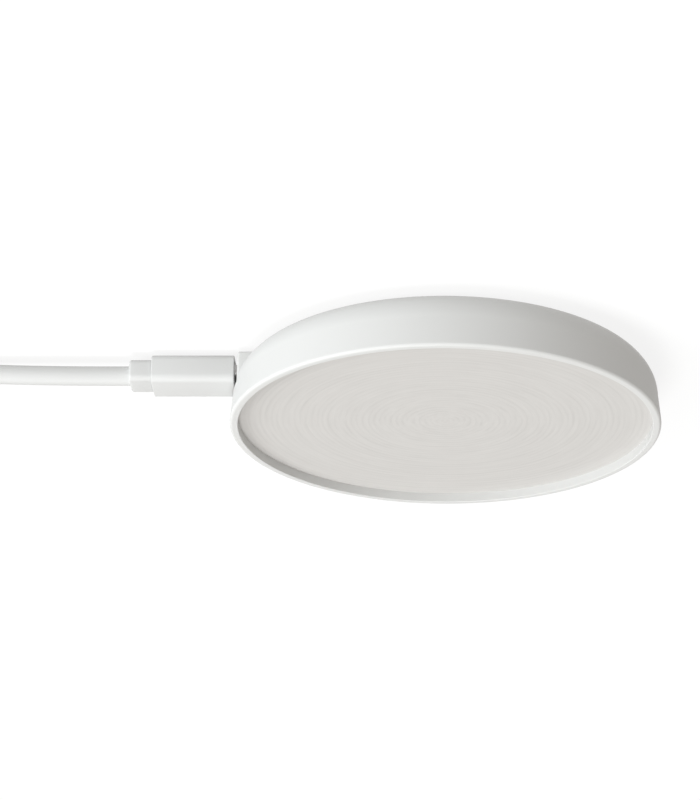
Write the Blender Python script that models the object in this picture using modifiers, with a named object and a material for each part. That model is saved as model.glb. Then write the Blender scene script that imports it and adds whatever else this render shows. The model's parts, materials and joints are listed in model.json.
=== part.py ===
"""Round wireless charging pad on its USB-C lead.

The pad is a shallow cup that holds a circuit board, a coil tray, a ferrite and a
flat coil under a ringed top plate. Its lead plugs into a port low in the wall and
ends in a coil, held by a tie, and a USB-A plug. Origin: on the floor under the
middle of the pad, +Z up, and the lead leaves along +X. Lengths are in metres.
"""

import math

import bmesh
import bpy
from mathutils import Matrix

# The pad's outer form
PAD_RADIUS = 0.045
BODY_HEIGHT = 0.0133
FOOT_PROUD = 0.0004  # the foot ring stands this far below the base
PAD_HEIGHT = BODY_HEIGHT + FOOT_PROUD
WALL_FOOT_RADIUS = 0.04444  # the wall leans in to this radius where the round starts
BASE_ROUND = 0.007
RIM_WIDTH = 0.0017
RIM_ROUND = 0.0003
RECESS_DEPTH = 0.002
GAP = 0.0003  # clearance between neighbours

# The inside of the cup
FLOOR_THICK = 0.0016
INNER_ROUND = 0.0054
INNER_RADIUS = 0.042
TURNED_STEPS = 96

# The top plate on its adhesive ring
PLATE_THICK = 0.0016
PLATE_TOP = PAD_HEIGHT - RECESS_DEPTH
PLATE_UNDER = PLATE_TOP - PLATE_THICK
PLATE_RADIUS = PAD_RADIUS - RIM_WIDTH - GAP
TAPE_THICK = 0.0003
LEDGE_HEIGHT = PLATE_UNDER - 2 * GAP - TAPE_THICK

# The non-slip foot ring in its groove
FOOT_INNER, FOOT_OUTER = 0.0293, 0.0327
FOOT_THICK = 0.0008

# The port, low in the wall on the +X side and off the pad's middle plane
PORT_Y, PORT_Z = -0.00565, 0.0039
BOSS_FACE_X = 0.043
BOSS_HALF_WIDTH = 0.00645
BOSS_BOTTOM = 0.0009
BOSS_ROUND = 0.0005
POCKET_TOP = 0.0072
SOCKET_WIDTH, SOCKET_HEIGHT = 0.00904, 0.00326
SOCKET_WALL = 0.0003
SOCKET_MOUTH_X, SOCKET_BACK_X = 0.0426, 0.0353

# Posts and screws: three hold the tray, two hold the board
TRAY_POST_CIRCLE, TRAY_POST_RADIUS = 0.034, 0.0028
TRAY_POST_TOP = 0.0066
BOARD_POST_XY = ((0.0115, -0.0125), (0.0115, 0.0075))
BOARD_POST_RADIUS, BOARD_POST_TOP = 0.0021, 0.0032

# The circuit board
BOARD_UNDER, BOARD_TOP = 0.0035, 0.0043
BOARD_X, BOARD_Y = (0.004, 0.0375), (-0.016, 0.011)
PARTS_BASE = BOARD_TOP + GAP

# The coil stack
TRAY_RADIUS, TRAY_UNDER, TRAY_TOP = 0.0385, 0.0069, 0.0077
TRAY_WALL_INNER, TRAY_WALL_OUTER, TRAY_WALL_TOP = 0.0264, 0.0274, 0.0092
TRAY_HOLE = 0.0045
FERRITE_INNER, FERRITE_OUTER = 0.006, 0.026
FERRITE_UNDER, FERRITE_TOP = TRAY_TOP + GAP, 0.0086
COIL_INNER, COIL_OUTER = 0.0105, 0.024
COIL_UNDER, COIL_TOP = FERRITE_TOP + GAP, 0.0097
COIL_LEAD_Y, COIL_LEAD_DIAMETER = 0.0016, 0.001

# The USB-C plug
PLUG_WIDTH, PLUG_HEIGHT = 0.00824, 0.00246
PLUG_WALL = 0.0003
PLUG_TIP_X, PLUG_ROOT_X = 0.0371, 0.0462
GRIP_X = (0.0437, 0.0609)
GRIP_WIDTH, GRIP_HEIGHT, GRIP_CORNER = 0.0103, 0.006, 0.0015
GRIP_EDGE = 0.0003
COLLAR_X = (0.0612, 0.0657)
COLLAR_WIDTH, COLLAR_HEIGHT, COLLAR_CORNER = 0.008, 0.0047, 0.001

# The lead
CABLE_DIAMETER = 0.0041
CABLE_STEP = 0.0095
CABLE_ROUTE = (
    (0.066, PORT_Y, PORT_Z),
    (0.0755, PORT_Y, 0.00388),
    (0.0846, PORT_Y, 0.00376),
    (0.0945, PORT_Y, 0.00346),
    (0.1045, PORT_Y, 0.0031),
    (0.1158, PORT_Y, 0.00295),
    (0.1278, PORT_Y, 0.00295),
)
COIL_TURNS_PER_LAYER = 3
HANK_OUTER_LINE = 0.0295  # radius of the middle of the coil's outermost turn
HANK_INNER = HANK_OUTER_LINE - (COIL_TURNS_PER_LAYER + 0.5) * CABLE_DIAMETER
HANK_OUTER = HANK_OUTER_LINE + CABLE_DIAMETER / 2
HANK_CENTRE = (0.144, PORT_Y + HANK_OUTER_LINE)
HANK_UNDER = 0.0009  # the tie runs below the coil
HANK_TOP = HANK_UNDER + 2 * CABLE_DIAMETER
TAIL_ROUTE = (
    (0.1602, PORT_Y, 0.0069),
    (0.1645, PORT_Y, 0.0061),
    (0.1695, PORT_Y, 0.0048),
    (0.174, PORT_Y, 0.0042),
    (0.1785, PORT_Y, 0.0041),
)
TIE_THICK, TIE_WIDTH = 0.0006, 0.005

# The USB-A plug on the far end
FAR_COLLAR_X = (0.1788, 0.1817)
FAR_GRIP_X = (0.182, 0.2008)
FAR_GRIP_WIDTH, FAR_GRIP_HEIGHT, FAR_GRIP_CORNER = 0.0154, 0.0076, 0.0018
FAR_SHELL_X = (0.1988, 0.2128)
FAR_SHELL_WIDTH, FAR_SHELL_HEIGHT, FAR_SHELL_WALL = 0.012, 0.0045, 0.0003
FAR_Z = 0.0041

WHITE = (0.86, 0.86, 0.85)
LIGHT_GREY = (0.68, 0.66, 0.64)

PART_NAME = "wireless_charging_pad"


def clear_scene():
    for old in list(bpy.data.objects):
        bpy.data.objects.remove(old, do_unlink=True)


def new_collection(name):
    group = bpy.data.collections.new(name)
    bpy.context.scene.collection.children.link(group)
    return group


def finish_of(name, colour, roughness, metallic=0.0):
    material = bpy.data.materials.new(name)
    material.use_nodes = True
    shader = material.node_tree.nodes["Principled BSDF"]
    shader.inputs["Base Color"].default_value = (*colour, 1.0)
    shader.inputs["Roughness"].default_value = roughness
    shader.inputs["Metallic"].default_value = metallic
    return material


def place(mesh, name, group, finish=None):
    """Puts a mesh in a collection as an object, smooth where it is round."""
    piece = bpy.data.objects.new(name, mesh)
    group.objects.link(piece)
    if finish:
        mesh.materials.clear()
        mesh.materials.append(finish)
    mesh.shade_smooth()
    mesh.set_sharp_from_angle(angle=math.radians(35))
    return piece


def arc(centre_x, centre_z, radius, start, end, count):
    """Points on a round, from one angle in degrees to another."""
    for i in range(count + 1):
        angle = math.radians(start + (end - start) * i / count)
        yield centre_x + radius * math.cos(angle), centre_z + radius * math.sin(angle)


def turned(name, profile, group, finish, closed=False, steps=TURNED_STEPS):
    """A turned solid about Z. An open profile starts and ends on the axis."""
    mesh = bpy.data.meshes.new(name)
    points = [(x, 0.0, z) for x, z in profile]
    edges = [(i, i + 1) for i in range(len(points) - 1)]
    if closed:
        edges.append((len(points) - 1, 0))
    mesh.from_pydata(points, edges, [])
    piece = place(mesh, name, group, finish)
    screw = piece.modifiers.new("turn", "SCREW")
    screw.steps = screw.render_steps = steps
    screw.use_merge_vertices = True
    screw.merge_threshold = 0.00001
    screw.use_normal_calculate = False
    return piece


def ring(name, inner, outer, under, top, group, finish, steps=TURNED_STEPS):
    """A flat ring of rectangular section, its outer side drawn downwards."""
    section = [(outer, top), (outer, under), (inner, under), (inner, top)]
    return turned(name, section, group, finish, closed=True, steps=steps)


def rounded_outline(width, height, corner, arc_points=4):
    """The points of a rectangle with round corners, anticlockwise."""
    corner = min(corner, width / 2, height / 2)
    for quarter, (side, up) in enumerate(((1, 1), (-1, 1), (-1, -1), (1, -1))):
        middle_x, middle_y = side * (width / 2 - corner), up * (height / 2 - corner)
        yield from arc(middle_x, middle_y, corner, 90 * quarter, 90 * quarter + 90, arc_points)


def without_repeats(points):
    kept = []
    for point in points:
        if not kept or math.dist(point, kept[-1]) > 1e-7:
            kept.append(point)
    if math.dist(kept[0], kept[-1]) < 1e-7:
        kept.pop()
    return kept


def mesh_of(source):
    """A curve object's mesh with its caps welded. The curve is removed."""
    evaluated = source.evaluated_get(bpy.context.evaluated_depsgraph_get())
    mesh = bpy.data.meshes.new_from_object(evaluated)
    matrix = source.matrix_world.copy()
    shell = bmesh.new()
    shell.from_mesh(mesh)
    bmesh.ops.remove_doubles(shell, verts=shell.verts, dist=1e-7)
    bmesh.ops.recalc_face_normals(shell, faces=shell.faces)
    shell.to_mesh(mesh)
    shell.free()
    bpy.data.objects.remove(source, do_unlink=True)
    return mesh, matrix


def extruded(name, outline, matrix, depth, group, finish=None):
    """A flat outline, filled and extruded evenly about its plane."""
    flat = bpy.data.curves.new(name, "CURVE")
    flat.dimensions = "2D"
    flat.fill_mode = "BOTH"
    flat.extrude = depth / 2
    points = without_repeats(outline)
    spline = flat.splines.new("POLY")
    spline.points.add(len(points) - 1)
    for point, (x, y) in zip(spline.points, points):
        point.co = (x, y, 0.0, 1.0)
    spline.use_cyclic_u = True
    guide = bpy.data.objects.new(name + "_outline", flat)
    guide.matrix_world = matrix
    bpy.context.scene.collection.objects.link(guide)
    bpy.context.view_layer.update()
    mesh, placed = mesh_of(guide)
    mesh.transform(placed)
    return place(mesh, name, group, finish)


def along_x(name, width, height, corner, span, group, finish=None, y=PORT_Y, z=PORT_Z):
    """A bar along X whose section is a rectangle with round corners."""
    start, end = span
    turn = Matrix(((0, 0, 1), (1, 0, 0), (0, 1, 0))).to_4x4()
    matrix = Matrix.Translation(((start + end) / 2, y, z)) @ turn
    outline = rounded_outline(width, height, corner)
    return extruded(name, outline, matrix, end - start, group, finish)


def upright(name, outline, span, group, finish=None):
    """A plate or post whose outline lies flat, between two heights."""
    low, high = span
    matrix = Matrix.Translation((0, 0, (low + high) / 2))
    return extruded(name, outline, matrix, high - low, group, finish)


def round_outline(x, y, radius, count=16):
    for i in range(count):
        angle = 2 * math.pi * i / count
        yield x + radius * math.cos(angle), y + radius * math.sin(angle)


def box(name, low, high, group, finish=None, edge=0.0):
    """A block between two corners, its edges broken by a small bevel."""
    block = bmesh.new()
    bmesh.ops.create_cube(block, size=1.0)
    sides = [b - a for a, b in zip(low, high)]
    middle = [(a + b) / 2 for a, b in zip(low, high)]
    bmesh.ops.scale(block, vec=sides, verts=block.verts)
    mesh = bpy.data.meshes.new(name)
    block.to_mesh(mesh)
    block.free()
    piece = place(mesh, name, group, finish)
    piece.location = middle
    if edge:
        soften(piece, edge)
    return piece


def soften(piece, width, segments=1, angle=50):
    bevel = piece.modifiers.new("edges", "BEVEL")
    bevel.width = width
    bevel.segments = segments
    bevel.limit_method = "ANGLE"
    bevel.angle_limit = math.radians(angle)


def combine(piece, other, operation, cutters):
    """Cuts a piece with another or joins them, and keeps the other as a guide."""
    for group in list(other.users_collection):
        group.objects.unlink(other)
    cutters.objects.link(other)
    other.hide_render = True
    other.display_type = "WIRE"
    boolean = piece.modifiers.new(other.name, "BOOLEAN")
    boolean.operation = operation
    boolean.solver = "EXACT"
    boolean.object = other


def smooth_route(points, step):
    """Evenly spaced points on a Catmull-Rom curve through a route's points."""
    fine = []
    padded = [points[0], *points, points[-1]]
    for a, b, c, d in zip(padded, padded[1:], padded[2:], padded[3:]):
        for i in range(20):
            t = i / 20
            fine.append(
                tuple(
                    0.5 * (2 * q + (r - p) * t + (2 * p - 5 * q + 4 * r - s) * t * t
                           + (3 * q - p - 3 * r + s) * t ** 3)
                    for p, q, r, s in zip(a, b, c, d)
                )
            )
    fine.append(tuple(points[-1]))
    total = sum(math.dist(a, b) for a, b in zip(fine, fine[1:]))
    count = max(2, round(total / step))
    placed, wanted, walked = [fine[0]], total / count, 0.0
    for a, b in zip(fine, fine[1:]):
        length = math.dist(a, b)
        while length and walked + length >= wanted * len(placed) - 1e-9 and len(placed) < count:
            share = (wanted * len(placed) - walked) / length
            placed.append(tuple(p + (q - p) * share for p, q in zip(a, b)))
        walked += length
    return [*placed, fine[-1]]


def tube(name, points, diameter, group, finish, resolution=2):
    """A round tube through points, closed at both ends."""
    line = bpy.data.curves.new(name, "CURVE")
    line.dimensions = "3D"
    line.bevel_depth = diameter / 2
    line.bevel_resolution = resolution
    line.use_fill_caps = True
    spline = line.splines.new("POLY")
    spline.points.add(len(points) - 1)
    for point, place_at in zip(spline.points, points):
        point.co = (*place_at, 1.0)
    line.materials.append(finish)
    piece = bpy.data.objects.new(name, line)
    group.objects.link(piece)
    return piece


def tray_posts():
    for angle in (60, 180, 300):
        turn = math.radians(angle)
        yield TRAY_POST_CIRCLE * math.cos(turn), TRAY_POST_CIRCLE * math.sin(turn)


def cup_profile():
    """From the middle of the inner floor, over the rim and down to the base."""
    floor = FOOT_PROUD + FLOOR_THICK
    inner_middle = INNER_RADIUS - INNER_ROUND
    yield 0.0, floor
    yield from arc(inner_middle, floor + INNER_ROUND, INNER_ROUND, -90, 0, 5)
    yield INNER_RADIUS, LEDGE_HEIGHT
    inner = PAD_RADIUS - RIM_WIDTH
    yield inner, LEDGE_HEIGHT
    top = PAD_HEIGHT - RIM_ROUND
    yield from arc(inner + RIM_ROUND, top, RIM_ROUND, 180, 90, 2)
    yield from arc(PAD_RADIUS - RIM_ROUND, top, RIM_ROUND, 90, 0, 3)
    outer_middle = WALL_FOOT_RADIUS - BASE_ROUND
    yield from arc(outer_middle, FOOT_PROUD + BASE_ROUND, BASE_ROUND, 0, -90, 10)
    groove_top = FOOT_THICK + GAP
    yield FOOT_OUTER + GAP, FOOT_PROUD
    yield FOOT_OUTER + GAP, groove_top
    yield FOOT_INNER - GAP, groove_top
    yield FOOT_INNER - GAP, FOOT_PROUD
    yield 0.0, FOOT_PROUD


def make_base_shell(parts, cutters, finish):
    """The cup: wall, floor, port block and screw posts in one moulding."""
    shell = turned("base_shell", cup_profile(), parts, finish)
    side = (PORT_Y - BOSS_HALF_WIDTH, PORT_Y + BOSS_HALF_WIDTH)
    block = box("port_block", (0.0385, side[0], BOSS_BOTTOM), (BOSS_FACE_X, side[1], 0.0087), cutters)
    soften(block, BOSS_ROUND, 3)
    combine(shell, block, "UNION", cutters)
    floor_inside = FOOT_PROUD + FLOOR_THICK / 2
    for i, (x, y) in enumerate(tray_posts(), 1):
        outline = round_outline(x, y, TRAY_POST_RADIUS)
        post = upright(f"tray_post_{i}", outline, (floor_inside, TRAY_POST_TOP), cutters)
        combine(shell, post, "UNION", cutters)
        hole = upright(f"tray_post_hole_{i}", round_outline(x, y, 0.0013), (0.0032, 0.009), cutters)
        combine(shell, hole, "DIFFERENCE", cutters)
    for i, (x, y) in enumerate(BOARD_POST_XY, 1):
        outline = round_outline(x, y, BOARD_POST_RADIUS)
        post = upright(f"board_post_{i}", outline, (floor_inside, BOARD_POST_TOP), cutters)
        combine(shell, post, "UNION", cutters)
        hole = upright(f"board_post_hole_{i}", round_outline(x, y, 0.0011), (0.0012, 0.005), cutters)
        combine(shell, hole, "DIFFERENCE", cutters)
    pocket = box("port_pocket", (BOSS_FACE_X, side[0] - 0.004, -0.001), (0.048, side[1], POCKET_TOP), cutters)
    combine(shell, pocket, "DIFFERENCE", cutters)
    opening = along_x(
        "port_opening", SOCKET_WIDTH + 2 * GAP, SOCKET_HEIGHT + 2 * GAP, 0.01, (0.0345, 0.046), cutters
    )
    combine(shell, opening, "DIFFERENCE", cutters)
    return shell


def make_top(parts, plate_finish, tape_finish):
    """The plate that the device lies on, and the tape ring that holds it."""
    edge = RIM_ROUND
    profile = [
        (0.0, PLATE_TOP),
        (PLATE_RADIUS - edge, PLATE_TOP),
        (PLATE_RADIUS, PLATE_TOP - edge),
        (PLATE_RADIUS, PLATE_UNDER),
        (0.0, PLATE_UNDER),
    ]
    turned("top_plate", profile, parts, plate_finish)
    under = LEDGE_HEIGHT + GAP
    ring("adhesive_ring", INNER_RADIUS, PLATE_RADIUS, under, under + TAPE_THICK,
         parts, tape_finish, steps=48)


def make_coil_stack(parts, cutters, finishes):
    """The tray, the ferrite, the flat coil and the coil's two lead wires."""
    profile = [
        (TRAY_WALL_OUTER, TRAY_WALL_TOP),
        (TRAY_WALL_OUTER, TRAY_TOP),
        (TRAY_RADIUS, TRAY_TOP),
        (TRAY_RADIUS, TRAY_UNDER),
        (TRAY_HOLE, TRAY_UNDER),
        (TRAY_HOLE, TRAY_TOP),
        (TRAY_WALL_INNER, TRAY_TOP),
        (TRAY_WALL_INNER, TRAY_WALL_TOP),
    ]
    tray = turned("coil_tray", profile, parts, finishes["tray"], closed=True, steps=48)
    for i, (x, y) in enumerate(tray_posts(), 1):
        hole = upright(f"tray_hole_{i}", round_outline(x, y, 0.0014), (0.006, 0.009), cutters)
        combine(tray, hole, "DIFFERENCE", cutters)
    ring("ferrite_disc", FERRITE_INNER, FERRITE_OUTER, FERRITE_UNDER, FERRITE_TOP,
         parts, finishes["ferrite"], steps=48)
    ring("charging_coil", COIL_INNER, COIL_OUTER, COIL_UNDER, COIL_TOP,
         parts, finishes["copper"], steps=48)
    middle = (COIL_UNDER + COIL_TOP) / 2
    for name, side in (("coil_lead_1", 1), ("coil_lead_2", -1)):
        y = side * COIL_LEAD_Y
        route = [
            (COIL_INNER - 0.0004, y, middle),
            (0.006, y, 0.0091),
            (0.0032, y, 0.0078),
            (0.003, y, 0.0064),
            (0.0042, y, 0.0054),
            (0.0062, y, 0.0051),
        ]
        tube(name, smooth_route(route, 0.0022), COIL_LEAD_DIAMETER, parts, finishes["wire"])


def screw(name, x, y, heights, shank, head, parts, finish):
    """A pan-head screw: shank tip, underside of the head, top of the head."""
    tip, under, top = heights
    profile = [
        (0.0, top),
        (head * 0.7, top),
        (head, (under + top) / 2),
        (head, under),
        (shank, under),
        (shank, tip + shank * 0.6),
        (0.0, tip),
    ]
    piece = turned(name, profile, parts, finish, steps=16)
    piece.location = (x, y, 0.0)
    return piece


def make_board(parts, cutters, finishes):
    """The circuit board with its notch, its screws and the parts on it."""
    middle_x, middle_y = sum(BOARD_X) / 2, sum(BOARD_Y) / 2
    width, height = BOARD_X[1] - BOARD_X[0], BOARD_Y[1] - BOARD_Y[0]
    outline = [(middle_x + x, middle_y + y) for x, y in rounded_outline(width, height, 0.003)]
    board = upright("circuit_board", outline, (BOARD_UNDER, BOARD_TOP), parts, finishes["board"])
    half = SOCKET_WIDTH / 2 + GAP
    notch = box("socket_notch", (SOCKET_BACK_X - GAP, PORT_Y - half, 0.0), (0.05, PORT_Y + half, 0.008), cutters)
    combine(board, notch, "DIFFERENCE", cutters)
    for i, (x, y) in enumerate(BOARD_POST_XY, 1):
        hole = upright(f"board_hole_{i}", round_outline(x, y, 0.0011), (0.003, 0.005), cutters)
        combine(board, hole, "DIFFERENCE", cutters)
        screw(f"board_screw_{i}", x, y, (0.0016, PARTS_BASE, 0.0054), 0.0008, 0.0018,
              parts, finishes["steel"])
    fitted = {
        "charge_controller": ((0.021, -0.004), (0.007, 0.007, 0.0009), "chip"),
        "power_switch_chip": ((0.0296, 0.0026), (0.005, 0.005, 0.0009), "chip"),
        "power_inductor": ((0.0285, -0.0128), (0.005, 0.005, 0.002), "ferrite"),
        "clock_crystal": ((0.021, 0.0025), (0.0032, 0.0025, 0.0008), "steel"),
        "temperature_sensor": ((0.0165, -0.012), (0.0016, 0.0008, 0.0006), "chip"),
        "input_capacitor_1": ((0.0345, 0.0045), (0.0016, 0.0032, 0.0016), "capacitor"),
        "input_capacitor_2": ((0.0225, -0.0125), (0.0016, 0.0032, 0.0016), "capacitor"),
    }
    for i in range(4):
        fitted[f"resonant_capacitor_{i + 1}"] = (
            (0.0165 + 0.0036 * i, 0.0078), (0.0025, 0.0032, 0.0016), "capacitor"
        )
    for name, ((x, y), (long, wide, tall), finish) in fitted.items():
        low = (x - long / 2, y - wide / 2, PARTS_BASE)
        high = (x + long / 2, y + wide / 2, PARTS_BASE + tall)
        box(name, low, high, parts, finishes[finish], edge=0.0001)


def make_socket(parts, cutters, finishes):
    """The USB-C socket: its steel shell and the tongue with its housing."""
    shell = along_x("socket_shell", SOCKET_WIDTH, SOCKET_HEIGHT, 0.01,
                    (SOCKET_BACK_X, SOCKET_MOUTH_X), parts, finishes["steel"])
    bore = along_x("socket_bore", SOCKET_WIDTH - 2 * SOCKET_WALL, SOCKET_HEIGHT - 2 * SOCKET_WALL,
                   0.01, (SOCKET_BACK_X - 0.001, SOCKET_MOUTH_X + 0.001), cutters)
    combine(shell, bore, "DIFFERENCE", cutters)
    housing = along_x("socket_tongue", 0.0079, 0.0021, 0.01, (0.0356, 0.0368), parts, finishes["black"])
    tongue = box("tongue_blade", (0.0362, PORT_Y - 0.003, PORT_Z - 0.00033),
                 (0.0415, PORT_Y + 0.003, PORT_Z + 0.00033), cutters)
    combine(housing, tongue, "UNION", cutters)


def make_plug(parts, cutters, finishes):
    """The USB-C plug: steel shell, inner block, moulded grip and collar."""
    shell = along_x("plug_shell", PLUG_WIDTH, PLUG_HEIGHT, 0.01, (PLUG_TIP_X, PLUG_ROOT_X),
                    parts, finishes["steel"])
    bore = along_x("plug_bore", PLUG_WIDTH - 2 * PLUG_WALL, PLUG_HEIGHT - 2 * PLUG_WALL, 0.01,
                   (PLUG_TIP_X - 0.001, PLUG_ROOT_X + 0.001), cutters)
    combine(shell, bore, "DIFFERENCE", cutters)
    block = along_x("plug_inner_block", 0.0073, 0.0015, 0.01, (PLUG_TIP_X + 0.0002, PLUG_ROOT_X - 0.0004),
                    parts, finishes["black"])
    slot = box("plug_slot", (0.03, PORT_Y - 0.0032, PORT_Z - 0.0005),
               (0.0425, PORT_Y + 0.0032, PORT_Z + 0.0005), cutters)
    combine(block, slot, "DIFFERENCE", cutters)
    grip = along_x("plug_grip", GRIP_WIDTH, GRIP_HEIGHT, GRIP_CORNER, GRIP_X, parts, finishes["lead"])
    soften(grip, GRIP_EDGE, 2)
    socket = along_x("grip_socket", PLUG_WIDTH + 2 * GAP, PLUG_HEIGHT + 2 * GAP, 0.01,
                     (GRIP_X[0] - 0.001, PLUG_ROOT_X + GAP), cutters)
    combine(grip, socket, "DIFFERENCE", cutters)
    collar = along_x("plug_collar", COLLAR_WIDTH, COLLAR_HEIGHT, COLLAR_CORNER, COLLAR_X,
                     parts, finishes["lead"])
    soften(collar, GRIP_EDGE, 2)


def make_lead(parts, cutters, finishes):
    """The cable's two open stretches, its coil and the tie round the coil."""
    tube("cable", smooth_route(CABLE_ROUTE, CABLE_STEP), CABLE_DIAMETER, parts, finishes["lead"])
    tube("cable_tail", smooth_route(TAIL_ROUTE, CABLE_STEP / 2), CABLE_DIAMETER, parts, finishes["lead"])
    hank = ring("cable_coil", HANK_INNER, HANK_OUTER, HANK_UNDER, HANK_TOP,
                parts, finishes["lead"], steps=48)
    hank.location = (*HANK_CENTRE, 0.0)
    inner_height = HANK_TOP + GAP - (HANK_UNDER - GAP)
    inner_width = HANK_OUTER - HANK_INNER + 2 * GAP
    middle = (
        HANK_CENTRE[1] + (HANK_INNER + HANK_OUTER) / 2,
        (HANK_UNDER + HANK_TOP) / 2,
    )
    reach = (HANK_CENTRE[0] - TIE_WIDTH / 2, HANK_CENTRE[0] + TIE_WIDTH / 2)
    tie = along_x("cable_tie", inner_width + 2 * TIE_THICK, inner_height + 2 * TIE_THICK, 0.0012,
                  reach, parts, finishes["tie"], *middle)
    through = along_x("tie_opening", inner_width, inner_height, 0.0006,
                      (reach[0] - 0.001, reach[1] + 0.001), cutters, None, *middle)
    combine(tie, through, "DIFFERENCE", cutters)


def make_far_plug(parts, cutters, finishes):
    """The USB-A plug: collar, moulded grip, steel shell and contact block."""
    collar = along_x("far_plug_collar", COLLAR_WIDTH, COLLAR_HEIGHT, COLLAR_CORNER, FAR_COLLAR_X,
                     parts, finishes["lead"], z=FAR_Z)
    soften(collar, GRIP_EDGE, 2)
    grip = along_x("far_plug_grip", FAR_GRIP_WIDTH, FAR_GRIP_HEIGHT, FAR_GRIP_CORNER, FAR_GRIP_X,
                   parts, finishes["lead"], z=FAR_Z)
    soften(grip, GRIP_EDGE, 2)
    socket = along_x("far_grip_socket", FAR_SHELL_WIDTH + 2 * GAP, FAR_SHELL_HEIGHT + 2 * GAP, 0.0005,
                     (FAR_SHELL_X[0] - GAP, FAR_GRIP_X[1] + 0.001), cutters, z=FAR_Z)
    combine(grip, socket, "DIFFERENCE", cutters)
    shell = along_x("far_plug_shell", FAR_SHELL_WIDTH, FAR_SHELL_HEIGHT, 0.0005, FAR_SHELL_X,
                    parts, finishes["steel"], z=FAR_Z)
    bore = along_x("far_plug_bore", FAR_SHELL_WIDTH - 2 * FAR_SHELL_WALL,
                   FAR_SHELL_HEIGHT - 2 * FAR_SHELL_WALL, 0.0003,
                   (FAR_SHELL_X[0] - 0.001, FAR_SHELL_X[1] + 0.001), cutters, z=FAR_Z)
    combine(shell, bore, "DIFFERENCE", cutters)
    box("far_plug_block", (FAR_SHELL_X[0] + 0.0003, PORT_Y - 0.0053, FAR_Z - 0.0016),
        (FAR_SHELL_X[1] - 0.0004, PORT_Y + 0.0053, FAR_Z + 0.0001), parts, finishes["black"], edge=0.0001)


def make_part():
    clear_scene()
    parts = new_collection(PART_NAME)
    cutters = new_collection("cutters")
    finishes = {
        "black": finish_of("black_nylon", (0.03, 0.03, 0.03), 0.5),
        "board": finish_of("board_green", (0.03, 0.2, 0.08), 0.45),
        "capacitor": finish_of("capacitor_ceramic", (0.45, 0.34, 0.22), 0.5),
        "chip": finish_of("chip_epoxy", (0.025, 0.025, 0.028), 0.6),
        "copper": finish_of("coil_copper", (0.72, 0.34, 0.16), 0.35, 1.0),
        "ferrite": finish_of("ferrite_grey", (0.09, 0.09, 0.095), 0.7),
        "lead": finish_of("lead_white", WHITE, 0.45),
        "tie": finish_of("tie_white", (0.8, 0.8, 0.79), 0.8),
        "steel": finish_of("bright_steel", (0.62, 0.62, 0.62), 0.3, 1.0),
        "tray": finish_of("tray_plastic", (0.8, 0.8, 0.78), 0.5),
        "wire": finish_of("wire_sleeve", (0.75, 0.7, 0.6), 0.5),
    }
    make_base_shell(parts, cutters, finish_of("pad_white", WHITE, 0.4))
    make_top(parts, finish_of("top_light_grey", LIGHT_GREY, 0.5), finish_of("tape", (0.1, 0.1, 0.1), 0.6))
    ring("foot_ring", FOOT_INNER, FOOT_OUTER, 0.0, FOOT_THICK, parts,
         finish_of("foot_rubber", (0.6, 0.6, 0.59), 0.8))
    make_coil_stack(parts, cutters, finishes)
    for i, (x, y) in enumerate(tray_posts(), 1):
        screw(f"tray_screw_{i}", x, y, (0.0036, TRAY_TOP + GAP, 0.0091), 0.001, 0.0022,
              parts, finishes["steel"])
    make_board(parts, cutters, finishes)
    make_socket(parts, cutters, finishes)
    make_plug(parts, cutters, finishes)
    make_lead(parts, cutters, finishes)
    make_far_plug(parts, cutters, finishes)


make_part()
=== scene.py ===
# %% [markdown]
# # A round wireless charging pad on a USB-C lead
#
# The pad is a shallow white cup with a ringed grey plate set into it. A white lead
# plugs into a port low in its wall. The engineering model gives the sizes, the
# joints and the hidden parts; this lesson adds the shapes, finishes, light and camera
# that make it look like the real thing.
# Everything is in metres, with height zero where the pad stands, under its middle.

# %% Load the engineering model
import json
import math

import bmesh
import bpy
from mathutils import Matrix, Quaternion, Vector


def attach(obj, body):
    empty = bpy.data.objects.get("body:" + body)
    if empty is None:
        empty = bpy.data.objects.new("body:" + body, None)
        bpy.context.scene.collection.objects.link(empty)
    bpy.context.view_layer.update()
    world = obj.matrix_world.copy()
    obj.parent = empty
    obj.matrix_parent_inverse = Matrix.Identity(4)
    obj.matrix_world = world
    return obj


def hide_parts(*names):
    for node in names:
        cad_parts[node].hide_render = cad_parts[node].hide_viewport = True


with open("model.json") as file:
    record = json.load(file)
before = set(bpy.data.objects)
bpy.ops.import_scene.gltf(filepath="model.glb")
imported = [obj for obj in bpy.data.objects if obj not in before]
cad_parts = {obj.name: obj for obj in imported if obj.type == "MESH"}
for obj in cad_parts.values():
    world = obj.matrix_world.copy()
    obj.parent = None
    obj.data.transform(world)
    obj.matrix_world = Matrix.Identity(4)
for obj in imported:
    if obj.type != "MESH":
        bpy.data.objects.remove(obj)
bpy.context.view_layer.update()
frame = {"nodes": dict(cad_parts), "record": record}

MM = 0.001

# %% [markdown]
# ## The camera
#
# A long lens from a little above the floor flattens the pad into a thin ellipse. The
# camera is held upside down, which is why the ringed face shows at the bottom of the
# picture and the lead leaves to the left. A camera looks along its own -Z, so its
# turn comes from the direction of view, and the roll is a second turn about that line.

# %% Place the camera
STANDS_AT = (-0.005171, -0.618021, 0.25855)
LOOKS_DOWN = 0.3863  # radians below level
LOOKS_ASIDE = 0.04063  # radians from +Y towards +X
ROLL = math.pi + 0.0156
LENS, SENSOR = 143.18, 36  # millimetres

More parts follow.
